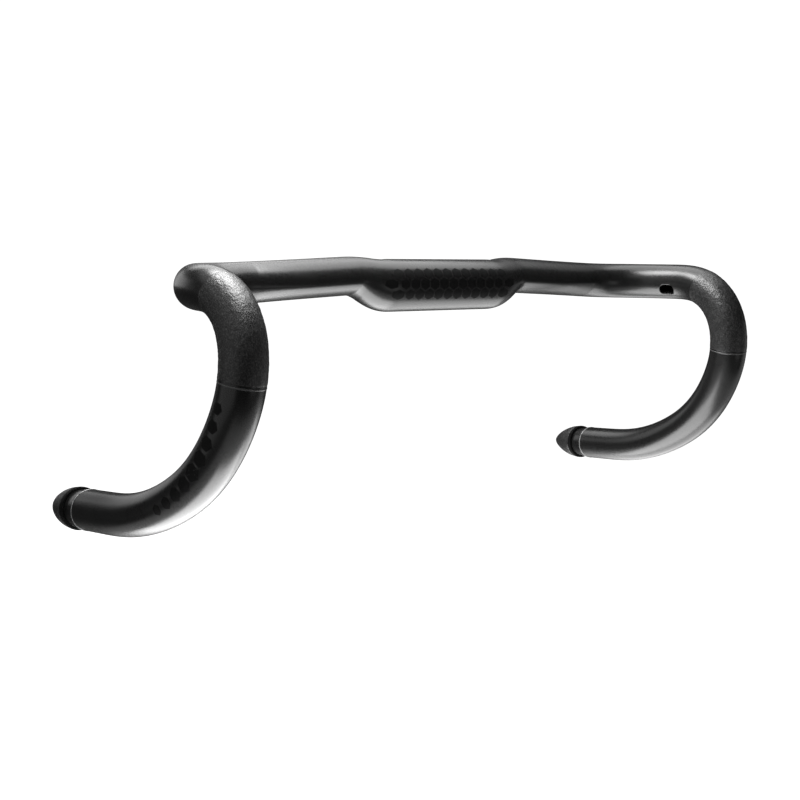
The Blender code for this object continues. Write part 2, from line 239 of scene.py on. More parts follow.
# ---- mesh gathering ------------------------------------------------------------------
class Body:
    """Gathers points and faces, then makes one object of them."""

    def __init__(self):
        self.points, self.lay, self.faces, self.count = [], [], [], 0

    def add(self, points, lay=None):
        points = np.asarray(points, float).reshape(-1, 3)
        first = self.count
        self.points.append(points)
        self.lay.append(points / MM if lay is None else np.asarray(lay, float).reshape(-1, 3))
        self.count += len(points)
        return np.arange(first, self.count)

    def grid(self, index, wrap=True, skip=None, flip=False):
        """Quads between the rows of index, a 2-D array of point numbers."""
        a = index
        b = np.roll(index, -1, axis=1) if wrap else None
        if wrap:
            quads = np.stack((a[:-1], b[:-1], b[1:], a[1:]), axis=-1)
        else:
            quads = np.stack((a[:-1, :-1], a[:-1, 1:], a[1:, 1:], a[1:, :-1]), axis=-1)
        if skip is not None:
            quads = quads[~skip]
        quads = quads.reshape(-1, 4)
        self.faces += (quads[:, ::-1] if flip else quads).tolist()

    def zipper(self, a, ta, b, tb, flip=False):
        """Triangles between two closed loops of different counts, matched by ta and tb,
        which rise through one turn, 0 to 1."""
        a, b = list(a), list(b)
        ta, tb = list(ta) + [ta[0] + 1.0], list(tb) + [tb[0] + 1.0]
        shift = min(range(len(b)), key=lambda k: abs((tb[k] - ta[0] + 0.5) % 1.0 - 0.5))
        b = b[shift:] + b[:shift]
        turns = [tb[k] for k in range(shift, len(b))] + [tb[k] + 1.0 for k in range(shift)]
        turns.append(turns[0] + 1.0)
        base = round(ta[0] - turns[0])
        turns = [t + base for t in turns]
        i = j = 0
        while i < len(a) or j < len(b):
            go_a = j >= len(b) or (i < len(a) and ta[i + 1] <= turns[j + 1])
            p, q = a[i % len(a)], b[j % len(b)]
            if go_a:
                face = [p, a[(i + 1) % len(a)], q]
                i += 1
            else:
                face = [p, b[(j + 1) % len(b)], q]
                j += 1
            self.faces.append(face[::-1] if flip else face)

    def make(self, name, material, sharp=40.0, recalc=True):
        mesh = bpy.data.meshes.new(name)
        mesh.from_pydata(np.concatenate(self.points).tolist(), [], self.faces)
        lay = mesh.attributes.new("lay", "FLOAT_VECTOR", "POINT")
        lay.data.foreach_set("vector", np.concatenate(self.lay).astype(np.float32).ravel())
        return finish_mesh(mesh, name, material, sharp, recalc)


def finish_mesh(mesh, name, material, sharp=40.0, recalc=True):
    if recalc:
        bm = bmesh.new()
        bm.from_mesh(mesh)
        bmesh.ops.recalc_face_normals(bm, faces=bm.faces[:])
        bm.to_mesh(mesh)
        bm.free()
    mesh.shade_smooth()
    mesh.set_sharp_from_angle(angle=math.radians(sharp))
    mesh.materials.append(material)
    obj = bpy.data.objects.new(name, mesh)
    bpy.context.scene.collection.objects.link(obj)
    return obj


def applied(obj):
    """Applies the object's modifiers to its mesh."""
    bpy.context.view_layer.update()
    deps = bpy.context.evaluated_depsgraph_get()
    mesh = bpy.data.meshes.new_from_object(obj.evaluated_get(deps), depsgraph=deps)
    obj.modifiers.clear()
    obj.data = mesh
    return obj


# ---- materials ------------------------------------------------------------------------
class Paint:
    """A node material with one Principled shader, and short ways to add nodes."""

    def __init__(self, name):
        self.mat = bpy.data.materials.new(name)
        self.mat.use_nodes = True
        self.tree = self.mat.node_tree
        self.shader = self.tree.nodes["Principled BSDF"]

    def node(self, kind, **settings):
        made = self.tree.nodes.new(kind)
        for key, value in settings.items():
            setattr(made, key, value)
        return made

    def feed(self, source, target):
        self.tree.links.new(source, target)

    def put(self, socket, value):
        """Sets a socket to a number, or links it to another node's output."""
        if isinstance(value, bpy.types.NodeSocket):
            self.feed(value, socket)
        elif value is not None:
            socket.default_value = value

    def sock(self, name, value):
        self.put(self.shader.inputs[name], value)

    def math(self, operation, a, b=None, c=None):
        n = self.node("ShaderNodeMath", operation=operation)
        self.put(n.inputs[0], a)
        self.put(n.inputs[1], b)
        self.put(n.inputs[2], c)
        return n.outputs[0]

    def lay(self):
        return self.node("ShaderNodeAttribute", attribute_name="lay").outputs["Vector"]

    def place(self):
        return self.node("ShaderNodeTexCoord").outputs["Object"]

    def split(self, vector):
        n = self.node("ShaderNodeSeparateXYZ")
        self.feed(vector, n.inputs[0])
        return n.outputs

    def scaled(self, vector, scale):
        n = self.node("ShaderNodeMapping")
        self.feed(vector, n.inputs["Vector"])
        n.inputs["Scale"].default_value = scale
        return n.outputs[0]

    def noise(self, vector, scale, detail=3.0, rough=0.5, distortion=0.0):
        n = self.node("ShaderNodeTexNoise")
        self.feed(vector, n.inputs["Vector"])
        n.inputs["Scale"].default_value = scale
        n.inputs["Detail"].default_value = detail
        n.inputs["Roughness"].default_value = rough
        n.inputs["Distortion"].default_value = distortion
        return n.outputs["Fac"]

    def cells(self, vector, scale, feature="F1", randomness=1.0):
        n = self.node("ShaderNodeTexVoronoi", feature=feature)
        self.feed(vector, n.inputs["Vector"])
        n.inputs["Scale"].default_value = scale
        n.inputs["Randomness"].default_value = randomness
        return n.outputs["Distance"]

    def span(self, value, a, b, low, high, kind="LINEAR"):
        n = self.node("ShaderNodeMapRange", interpolation_type=kind)
        self.put(n.inputs["Value"], value)
        for key, v in (("From Min", a), ("From Max", b), ("To Min", low), ("To Max", high)):
            self.put(n.inputs[key], v)
        return n.outputs["Result"]

    def ramp(self, value, *stops):
        n = self.node("ShaderNodeValToRGB")
        self.put(n.inputs["Fac"], value)
        ramp = n.color_ramp
        while len(ramp.elements) < len(stops):
            ramp.elements.new(0.5)
        for element, (at, colour) in zip(ramp.elements, stops):
            element.position = at
            element.color = (*colour, 1.0) if hasattr(colour, "__len__") else (colour, colour, colour, 1.0)
        return n.outputs["Color"]

    def blend(self, factor, a, b):
        n = self.node("ShaderNodeMix", data_type="RGBA")
        self.put(n.inputs["Factor"], factor)
        for socket, value in ((n.inputs[6], a), (n.inputs[7], b)):
            if hasattr(value, "__len__") and not isinstance(value, bpy.types.NodeSocket):
                value = (*value, 1.0)
            self.put(socket, value)
        return n.outputs[2]

    def bump(self, height, strength, distance, after=None):
        n = self.node("ShaderNodeBump")
        self.put(n.inputs["Height"], height)
        n.inputs["Strength"].default_value = strength
        n.inputs["Distance"].default_value = distance
        if after is not None:
            self.feed(after, n.inputs["Normal"])
        return n.outputs["Normal"]


def carbon_paint(name, grit):
    """Satin clear coat over black carbon: faint fibre streaks along the tube, a very
    light orange peel, and, where grit is set, the lever seat's rough print."""
    p = Paint(name)
    lay = p.lay()
    streaks = p.noise(p.scaled(lay, (0.03, 1.6, 1.6)), 1.0, 4.0, 0.6)
    cloud = p.noise(p.scaled(lay, (0.05, 0.05, 0.05)), 1.0, 3.0, 0.55)
    peel = p.noise(lay, 0.9, 2.0, 0.5)
    dust = p.noise(lay, 6.0, 2.0, 0.6)
    colour = p.ramp(streaks, (0.25, 0.0050), (0.75, 0.0090))
    rough = p.math("ADD", p.span(cloud, 0.3, 0.7, 0.26, 0.30), p.span(dust, 0.3, 0.7, -0.02, 0.02))
    normal = p.bump(peel, 0.05, 0.0002)
    if grit:
        x = p.split(lay)[0]
        s = p.math("SUBTRACT", p.math("ABSOLUTE", x), TOP_HALF)
        inside = p.math("MULTIPLY", p.span(s, GRIT_FROM - 0.6, GRIT_FROM + 0.6, 0.0, 1.0),
                        p.span(s, SEAM_S - 1.1, SEAM_S - 0.8, 1.0, 0.0))
        grains = p.cells(lay, 0.95)
        fine = p.cells(lay, 2.3)
        speck = p.span(grains, 0.15, 0.75, 1.0, 0.0)
        fleck = p.noise(lay, 1.4, 3.0, 0.7)
        gritty = p.ramp(fleck, (0.40, 0.003), (0.50, 0.010), (0.62, 0.042))
        colour = p.blend(inside, colour, gritty)
        rough = p.math("ADD", p.math("MULTIPLY", rough, p.math("SUBTRACT", 1.0, inside)),
                       p.math("MULTIPLY", p.span(fleck, 0.38, 0.62, 0.48, 0.29), inside))
        height = p.math("MULTIPLY", p.math("ADD", speck, p.math("MULTIPLY", p.span(fine, 0.1, 0.7, 1.0, 0.0), 0.5)), inside)
        normal = p.bump(height, 0.28, 0.00025, normal)
    else:
        # the pale raised lines at the joint and at the end of the tape
        s = p.math("SUBTRACT", p.math("ABSOLUTE", p.split(lay)[0]), TOP_HALF)
        for where, half, tone in ((SEAM_S + 0.40, 0.35, 0.055), (END_S - BAND_LEN, 0.45, 0.18)):
            line = p.span(p.math("ABSOLUTE", p.math("SUBTRACT", s, where)), half - 0.1, half + 0.1, 1.0, 0.0)
            colour = p.blend(line, colour, (tone, tone, tone))
    p.sock("Base Color", colour)
    p.sock("Roughness", rough)
    p.sock("Normal", normal)
    p.sock("Specular IOR Level", 0.5)
    p.sock("IOR", 1.5)
    return p.mat


def mark_paint():
    """Flat black print: it takes the sheen off the satin coat under it."""
    p = Paint("flat_black_print")
    at = p.place()
    mottle = p.noise(at, 900.0, 3.0, 0.6)
    p.sock("Base Color", p.ramp(mottle, (0.3, 0.0015), (0.7, 0.0030)))
    p.sock("Roughness", p.span(mottle, 0.3, 0.7, 0.50, 0.62))
    p.sock("Specular IOR Level", 0.12)
    p.sock("Normal", p.bump(p.noise(at, 2600.0, 2.0), 0.04, 0.0002))
    return p.mat


def grained_paint():
    """Moulded cap with a fine leather-like grain, its tops rubbed a little paler."""
    p = Paint("grained_moulding")
    at = p.place()
    pebbles = p.cells(at, 1050.0)
    fine = p.noise(at, 1900.0, 3.0, 0.65)
    tone = p.noise(at, 700.0, 4.0, 0.7)
    p.sock("Base Color", p.ramp(tone, (0.40, 0.003), (0.52, 0.009), (0.64, 0.028)))
    p.sock("Roughness", p.span(tone, 0.35, 0.65, 0.58, 0.38))
    normal = p.bump(pebbles, 0.55, 0.0004)
    p.sock("Normal", p.bump(fine, 0.3, 0.0003, normal))
    return p.mat


def rubber_paint():
    p = Paint("matt_black_rubber")
    at = p.place()
    fine = p.noise(at, 1800.0, 4.0, 0.7)
    p.sock("Base Color", p.ramp(fine, (0.3, 0.0015), (0.7, 0.0035)))
    p.sock("Roughness", p.span(fine, 0.3, 0.7, 0.7, 0.85))
    p.sock("Specular IOR Level", 0.08)
    p.sock("Normal", p.bump(fine, 0.15, 0.0002))
    return p.mat


def nylon_paint():
    """Glass filled nylon: dark, with the faint swirl of short fibres."""
    p = Paint("black_nylon_moulding")
    at = p.place()
    swirl = p.noise(at, 420.0, 4.0, 0.6, 1.4)
    fine = p.noise(at, 2400.0, 2.0, 0.6)
    p.sock("Base Color", p.ramp(swirl, (0.3, 0.014), (0.7, 0.030)))
    p.sock("Roughness", p.math("ADD", p.span(swirl, 0.3, 0.7, 0.42, 0.54), p.span(fine, 0.3, 0.7, -0.04, 0.04)))
    p.sock("Normal", p.bump(fine, 0.12, 0.0002))
    return p.mat


def steel_paint():
    """Zinc plate: bright, slightly mottled, with fine wear."""
    p = Paint("zinc_plated_steel")
    at = p.place()
    mottle = p.noise(at, 700.0, 4.0, 0.6)
    wear = p.noise(at, 3000.0, 3.0, 0.7)
    p.sock("Base Color", p.ramp(mottle, (0.25, (0.50, 0.50, 0.51)), (0.75, (0.66, 0.66, 0.65))))
    p.sock("Metallic", 1.0)
    p.sock("Roughness", p.math("ADD", p.span(mottle, 0.3, 0.7, 0.28, 0.40), p.span(wear, 0.3, 0.7, -0.05, 0.05)))
    p.sock("Normal", p.bump(wear, 0.06, 0.0001))
    return p.mat


def alloy_paint(turned_about=None):
    """Turned aluminium, with fine tool marks."""
    p = Paint("turned_aluminium")
    at = p.place()
    marks = p.noise(p.scaled(at, (300.0, 5200.0, 300.0)), 1.0, 3.0, 0.6)
    tone = p.noise(at, 300.0, 3.0, 0.5)
    p.sock("Base Color", p.ramp(tone, (0.3, (0.66, 0.66, 0.68)), (0.7, (0.78, 0.78, 0.79))))
    p.sock("Metallic", 1.0)
    p.sock("Roughness", p.span(marks, 0.3, 0.7, 0.24, 0.38))
    p.sock("Normal", p.bump(marks, 0.10, 0.0001))
    return p.mat


def weave_paint():
    """Uncoated woven carbon, for the ferrules inside the joints."""
    p = Paint("woven_carbon")
    x, y, z = p.split(p.scaled(p.place(), (1000.0, 1000.0, 1000.0)))
    warp = p.math("SINE", p.math("MULTIPLY", p.math("ADD", x, y), 2.2))
    weft = p.math("SINE", p.math("MULTIPLY", p.math("SUBTRACT", z, y), 2.2))
    over = p.math("MULTIPLY", warp, weft)
    fibre = p.noise(p.scaled(p.place(), (900.0, 9000.0, 900.0)), 1.0, 2.0)
    p.sock("Base Color", p.ramp(p.span(over, -1.0, 1.0, 0.0, 1.0), (0.2, 0.012), (0.8, 0.040)))
    p.sock("Roughness", p.span(fibre, 0.3, 0.7, 0.45, 0.62))
    p.sock("Normal", p.bump(over, 0.3, 0.0002))
    return p.mat


CARBON = carbon_paint("satin_carbon_top", grit=True)
CARBON_DROP = carbon_paint("satin_carbon_hook", grit=False)
MARK = mark_paint()
GRAINED = grained_paint()
RUBBER = rubber_paint()
NYLON = nylon_paint()
STEEL = steel_paint()
ALLOY = alloy_paint()
WEAVE = weave_paint()


# ---- the bar's skins ----------------------------------------------------------------------
SIDES = 128
SIDES_IN = 48
ANGLES = math.radians(60.0) + 2.0 * math.pi * np.arange(SIDES) / SIDES          # starts clear of the ports
ANGLES_IN = math.radians(60.0) + 2.0 * math.pi * np.arange(SIDES_IN) / SIDES_IN


def steps(*runs):
    """Stations through runs of (end, largest step), from the first number."""
    out = [runs[0]]
    for end, most in runs[1:]:
        count = max(1, math.ceil((end - out[-1]) / most - 1e-9))
        start = out[-1]
        out += [start + (end - start) * (i + 1) / count for i in range(count)]
    return np.array(out)


def grit_height(place, angle):
    """Relief of the lever seat's print, in millimetres: packed blunt grains."""
    s = np.abs(place) - TOP_HALF
    inside = smooth((s - GRIT_FROM + 0.5) / 1.0) * (1.0 - smooth((s - SEAM_S + 1.2) / 0.5))
    q = np.abs(place)
    points = np.stack(np.broadcast_arrays(place, TUBE_R * np.cos(angle), TUBE_R * np.sin(angle)), axis=-1)
    coarse = noise(points, 1.25, 11)
    medium = noise(points, 0.8, 12)
    grains = np.clip((0.6 * coarse + 0.4 * medium - 0.42) / 0.3, 0.0, 1.0)
    return np.where(inside > 0.0, inside * (0.05 + 0.11 * smooth(grains)), 0.0)


def stadium(phi, run, radius):
    """Distance from a slot's middle to its outline in direction phi."""
    c, s = np.abs(np.cos(phi)), np.abs(np.sin(phi))
    flat = radius / np.maximum(s, 1e-9)
    on_flat = flat * c <= run
    round_end = run * c + np.sqrt(np.maximum(radius ** 2 - (run * s) ** 2, 0.0))
    return np.where(on_flat, flat, round_end)


class Hole:
    """A slot through the wall, with a rounded lip. Place and angle of its middle,
    its width along the tube and its height round it."""

    def __init__(self, place, angle, width, height, turn=0.0):
        self.place, self.angle, self.turn = place, angle, turn
        self.radius, self.run = height / 2.0, (width - height) / 2.0
        a, _ = skin(place, angle - 0.01)
        b, _ = skin(place, angle + 0.01)
        self.arc = float(np.linalg.norm(a - b) / MM / 0.02)      # mm per radian here

    def reach(self, margin):
        return self.run + self.radius + margin, (self.radius + margin) / self.arc

    def outline(self, phi, extra):
        r = stadium(phi - self.turn, self.run, self.radius + extra)
        return self.place + r * np.cos(phi), self.angle + r * np.sin(phi) / self.arc

    def window(self, stations, angles, margin):
        du, da = self.reach(margin)
        i0 = int(np.searchsorted(stations, self.place - du)) - 1
        i1 = int(np.searchsorted(stations, self.place + du))
        j0 = int(np.searchsorted(angles, self.angle - da)) - 1
        j1 = int(np.searchsorted(angles, self.angle + da))
        return i0, i1, j0, j1


def patch(body, index, stations, angles, hole, margin, rings, rise, lip=0.0):
    """Fills the window round a hole with rings of quads between the grid and the
    slot's outline. Returns the innermost ring and its turn, 0 to 1."""
    i0, i1, j0, j1 = hole.window(stations, angles, margin)
    loop = [(i, j0) for i in range(i0, i1)] + [(i1, j) for j in range(j0, j1)] \
        + [(i, j1) for i in range(i1, i0, -1)] + [(i0, j) for j in range(j1, j0, -1)]
    ids = np.array([index[i, j] for i, j in loop])
    u = np.array([stations[i] for i, j in loop])
    v = np.array([angles[j] for i, j in loop])
    phi = np.arctan2((v - hole.angle) * hole.arc, u - hole.place)
    order = np.argsort(phi)
    ids, u, v, phi = ids[order], u[order], v[order], phi[order]
    rows = [ids]
    goal_u, goal_v = hole.outline(phi, lip)
    for k in range(1, rings + 1):
        t = k / rings
        pu, pv = mix(u, goal_u, t), mix(v, goal_v, t)
        rows.append(body.add(*skin(pu, pv, rise(pu))))
    if lip:
        for k in range(1, 7):
            a = math.pi / 2 * k / 6
            pu, pv = hole.outline(phi, lip * (1.0 - math.sin(a)))
            rows.append(body.add(*skin(pu, pv, rise(pu) - lip * (1.0 - math.cos(a)))))
        pu, pv = hole.outline(phi, 0.0)
        for depth in (1.2, 1.9):
            rows.append(body.add(*skin(pu, pv, rise(pu) - depth)))
    body.grid(np.array(rows))
    return rows[-1], phi / (2.0 * math.pi) + 0.5


def bar_section(name, material, stations, stations_in, relief, holes=(), inner_rise=None):
    """A length of the hollow bar: fine outer skin, plainer bore, both ends closed."""
    body = Body()
    grid_s, grid_a = np.meshgrid(stations, ANGLES, indexing="ij")
    outer = body.add(*skin(grid_s, grid_a, relief(grid_s, grid_a))).reshape(grid_s.shape)
    skip = np.zeros((len(stations) - 1, SIDES), bool)
    in_s, in_a = np.meshgrid(stations_in, ANGLES_IN, indexing="ij")
    inner = body.add(*skin(in_s, in_a, inner_rise(in_s))).reshape(in_s.shape)
    skip_in = np.zeros((len(stations_in) - 1, SIDES_IN), bool)
    for hole in holes:
        i0, i1, j0, j1 = hole.window(stations, ANGLES, 2.4)
        skip[i0:i1, j0:j1] = True
        a, ta = patch(body, outer, stations, ANGLES, hole, 2.4, 5,
                      lambda s: relief(s, np.zeros_like(s)) * 0.0, lip=0.7)
        i0, i1, j0, j1 = hole.window(stations_in, ANGLES_IN, 1.2)
        skip_in[i0:i1, j0:j1] = True
        b, tb = patch(body, inner, stations_in, ANGLES_IN, hole, 1.2, 2,
                      lambda s: inner_rise(s))
        body.zipper(a, ta, b, tb)
    body.grid(outer, skip=skip)
    body.grid(inner, skip=skip_in, flip=True)
    turn, turn_in = np.arange(SIDES) / SIDES, np.arange(SIDES_IN) / SIDES_IN
    body.zipper(outer[0], turn, inner[0], turn_in)
    body.zipper(outer[-1], turn, inner[-1], turn_in, flip=True)
    return body.make(name, material)


def exit_angle():
    """Where the straight cutter of the exit port meets the skin."""
    base = top_point(EXIT_X) + np.array((0.0, -9.0, -13.0))
    way = np.array((0.0, math.sin(math.radians(35.0)), math.cos(math.radians(35.0))))
    angles = np.radians(np.linspace(190.0, 300.0, 221))
    points = skin(np.full(angles.shape, EXIT_X), angles)[0] / MM - base
    off = points - (points @ way)[:, None] * way
    return float(angles[np.argmin(np.linalg.norm(off, axis=1))])


half = steps(0.0, (40.0, 2.0), (66.0, 1.0), (TOP_HALF, 1.6), (TOP_HALF + 56.0, 1.5),
             (TOP_HALF + 84.0, 1.1), (TOP_HALF + GRIT_FROM - 1.5, 1.3), (SEAM_Q - 0.9, 0.55),
             (SEAM_Q - 0.25, 0.2), (SEAM_Q - 0.05, 0.07))
half_in = steps(0.0, (40.0, 8.0), (TOP_HALF, 3.4), (SEAM_Q - 0.05, 2.8))
stations = np.concatenate((-half[:0:-1], half))
stations_in = np.concatenate((-half_in[:0:-1], half_in))
port_angle = 2.0 * math.pi - math.radians(PORT_DROP)
out_angle = exit_angle()
holes = []
for sign in (1.0, -1.0):
    holes.append(Hole(sign * (TOP_HALF + PORT_S), port_angle, PORT_W, PORT_H))
    holes.append(Hole(sign * EXIT_X, out_angle, EXIT_W, EXIT_H))


def top_relief(place, angle):
    edge = np.clip((np.abs(place) - SEAM_Q + 0.25) / 0.2, 0.0, 1.0)
    return grit_height(place, angle) - 0.03 * edge ** 2


centre = bar_section("bar_top_and_ramps", CARBON, stations, stations_in, top_relief, holes,
                     lambda s: -wall_at(np.abs(s)))
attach(centre, "bar")
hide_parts("centre_section")

# the drops: a raised line beside the joint, and another where the tape is tucked in
BEAD_S = END_S - BAND_LEN


def drop_relief(place, angle):
    s = np.abs(place) - TOP_HALF
    first = np.clip(1.0 - ((s - SEAM_S - 0.40) / 0.35) ** 2, 0.0, None) ** 0.5 * 0.13
    second = np.clip(1.0 - ((s - BEAD_S) / 0.45) ** 2, 0.0, None) ** 0.5 * 0.26
    edge = np.clip((s - END_S + 0.4) / 0.4, 0.0, 1.0) ** 2 * 0.2
    return first + second - edge


drop_stations = steps(SEAM_Q + 0.05, (SEAM_Q + 1.15, 0.1), (TOP_HALF + BEAD_S - 0.55, 1.5),
                      (TOP_HALF + BEAD_S + 0.55, 0.1), (END_Q - 0.4, 0.7), (END_Q, 0.1))
drop_stations_in = steps(SEAM_Q + 0.05, (END_Q, 3.0))
for side, sign in (("right", 1.0), ("left", -1.0)):
    out, inn = drop_stations * sign, drop_stations_in * sign
    if sign < 0:
        out, inn = out[::-1], inn[::-1]
    drop = bar_section(side + "_hook_and_drop", CARBON_DROP, out, inn, drop_relief, (),
                       lambda s: BORE_R - outer_radius(np.abs(s)))
    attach(drop, "bar")
    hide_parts(side + "_drop")


# ---- printed marks: plain hexagons, thin solids on the skin --------------------------------
def print_marks(name, spots, size):
    """Hexagons of that across-flats size at spots of (place, angle, share of size)."""
    body = Body()
    rings = 3
    for place, angle, share in spots:
        a, _ = skin(place, angle - 0.01)
        b, _ = skin(place, angle + 0.01)
        arc = float(np.linalg.norm(a - b) / MM / 0.02)
        reach = size * share / math.sqrt(3.0)
        sheets = []
        for rise in (0.05, -0.05):
            middle = body.add(*skin(np.array([place]), np.array([angle]), rise))[0]
            rows = []
            for k in range(1, rings + 1):
                pts = []
                for c in range(6):
                    for m in range(k):
                        p0 = math.radians(60.0 * c + 30.0)
                        p1 = math.radians(60.0 * (c + 1) + 30.0)
                        t = m / k
                        pts.append((mix(math.cos(p0), math.cos(p1), t), mix(math.sin(p0), math.sin(p1), t)))
                pts = np.array(pts) * reach * k / rings
                rows.append(body.add(*skin(place + pts[:, 0], angle + pts[:, 1] / arc, rise)))
            sheets.append((middle, rows))
        for n, (middle, rows) in enumerate(sheets):
            flip = n == 1
            first = rows[0]
            for i in range(6):
                face = [middle, first[i], first[(i + 1) % 6]]
                body.faces.append(face[::-1] if flip else face)
            for k in range(1, rings):
                small, big = rows[k - 1], rows[k]
                body.zipper(big, np.arange(len(big)) / len(big), small, np.arange(len(small)) / len(small), flip)
        top, low = sheets[0][1][-1], sheets[1][1][-1]
        body.grid(np.array([top, low]))
    return body.make(name, MARK, sharp=30.0)


def front_angle(place, height):
    """Angle on the front of the skin whose height above the frame's origin is that."""
    angles = np.radians(np.linspace(-80.0, 80.0, 641))
    z = skin(np.full(angles.shape, float(place)), angles)[0][:, 2] / MM
    return float(angles[np.argmin(np.abs(z - height))])


HEX = 6.6
marks = []
for row in range(-1, 2):
    for col in range(-8, 9):
        x = (col + (0.5 if row % 2 else 0.0)) * HEX * 1.12
        if abs(x) > 47.5:
            continue
        share = 0.97 - 0.20 * smooth((abs(x) - 20.0) / 34.0)
        marks.append((x, front_angle(x, 1.0 + row * HEX * 0.97), float(share)))
clamp_marks = print_marks("clamp_zone_marks", marks, HEX)
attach(clamp_marks, "bar")

for side, sign in (("right", 1.0), ("left", -1.0)):
    spots = []
    for k in range(9):
        s = SEAM_S + 12.0 + 9.4 * k
        share = 1.0 - 0.35 * abs(k - 4) / 4.0
        spots.append((sign * (TOP_HALF + s), math.radians(mix(166.0, 152.0, k / 8.0)), share))
    made = print_marks(side + "_drop_marks", spots, HEX * 1.3)
    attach(made, "bar")


# ---- end plugs -------------------------------------------------------------------------------
def turned_rows(body, profile, sides, lift=None):
    """Rows of points turned about Z from (radius, z), in millimetres. A radius of 0 is one point."""
    theta = 2.0 * math.pi * np.arange(sides) / sides
    rows = []
    for r, z in profile:
        if r < 1e-6:
            rows.append(body.add(np.array([[0.0, 0.0, z * MM]])))
            continue
        points = np.stack((r * np.cos(theta), r * np.sin(theta), np.full(sides, z)), axis=-1)
        if lift is not None:
            points = lift(points)
        rows.append(body.add(points * MM))
    return rows


def turned(name, profile, material, sides=96, closed=False, lift=None, sharp=35.0):
    body = Body()
    rows = turned_rows(body, profile, sides, lift)
    pairs = list(zip(rows, rows[1:]))
    if closed:
        pairs.append((rows[-1], rows[0]))
    for a, b in pairs:
        for i in range(sides):
            j = (i + 1) % sides
            if len(a) == 1:
                body.faces.append([a[0], b[j], b[i]])
            elif len(b) == 1:
                body.faces.append([a[i], a[j], b[0]])
            else:
                body.faces.append([a[i], a[j], b[j], b[i]])
    return body.make(name, material, sharp)


def rounded(points, radius, bits=4, closed=True):
    """A profile with its corners rounded off; closed or open polyline of (r, z)."""
    out = []
    n = len(points)
    for i, here in enumerate(points):
        here = np.array(here, float)
        if not closed and i in (0, n - 1):
            out.append(tuple(here))
            continue
        before, after = np.array(points[i - 1], float), np.array(points[(i + 1) % n], float)
        a, b = before - here, after - here
        la, lb = np.linalg.norm(a), np.linalg.norm(b)
        cut = min(radius, la * 0.45, lb * 0.45)
        p0, p1 = here + a / la * cut, here + b / lb * cut
        for k in range(bits + 1):
            t = k / bits
            out.append(tuple((1 - t) ** 2 * p0 + 2 * t * (1 - t) * here + t * t * p1))
    return out


def acorn_radius(t):
    return CAP_R * (1.0 - t ** 1.55) ** 0.74


def grain(points):
    """Fine moulded grain on the cap, in millimetres."""
    r = np.hypot(points[..., 0], points[..., 1])
    bumps = 0.6 * noise(points, 0.85, 21) + 0.4 * noise(points, 0.5, 22) - 0.5
    fade = np.clip(r / 2.0, 0.0, 1.0)
    way = points.copy()
    way[..., 2] = 0.0
    way /= np.maximum(r, 1e-6)[..., None]
    return points + way * (bumps * 0.11 * fade)[..., None]


end_point = along(SPOTS, np.array([END_Q]))[0]
end_way = along(WAYS, np.array([END_Q]))[0]
end_way = end_way / np.linalg.norm(end_way)

Z_RING = GAP
Z_CAP = Z_RING + RING_LEN + GAP
Z_SPIGOT = Z_CAP - SPIGOT_LEN
Z_WASHER = Z_SPIGOT - GAP - WASHER_LEN
Z_TOP = Z_WASHER - GAP
Z_END = Z_TOP - EXP_LEN


def place_plug(obj, side, body, *nodes, slot):
    sign = 1.0 if side == "right" else -1.0
    point = Vector((sign * end_point[0], end_point[1], end_point[2])) * MM
    way = Vector((sign * end_way[0], end_way[1], end_way[2]))
    obj.matrix_world = Matrix.Translation(point) @ way.to_track_quat("Z", "Y").to_matrix().to_4x4()
    bpy.context.view_layer.update()
    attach(obj, body)
    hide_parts(*nodes)


def make_cap(name):
    hole = STUD_R + GAP
    dome = [(0.0, Z_CAP + CAP_LEN)]
    count = 64
    for i in range(1, count + 1):
        t = 1.0 - (i / count)
        t = t if t > 0 else 0.0
        r = acorn_radius(max(t, 0.0)) if t < 1.0 else 0.0
        dome.append((max(r, 0.05), Z_CAP + 0.5 + (CAP_LEN - 0.5) * t))
    base = rounded([(CAP_R, Z_CAP + 0.8), (CAP_R - 0.15, Z_CAP), (SPIGOT_R, Z_CAP), (SPIGOT_R, Z_SPIGOT),
                    (hole, Z_SPIGOT), (hole, Z_CAP + 9.0)], 0.35, 3, closed=False)[1:]
    profile = dome + base + [(0.0, Z_CAP + 9.0)]
    return turned(name, profile, GRAINED, 112, lift=grain)


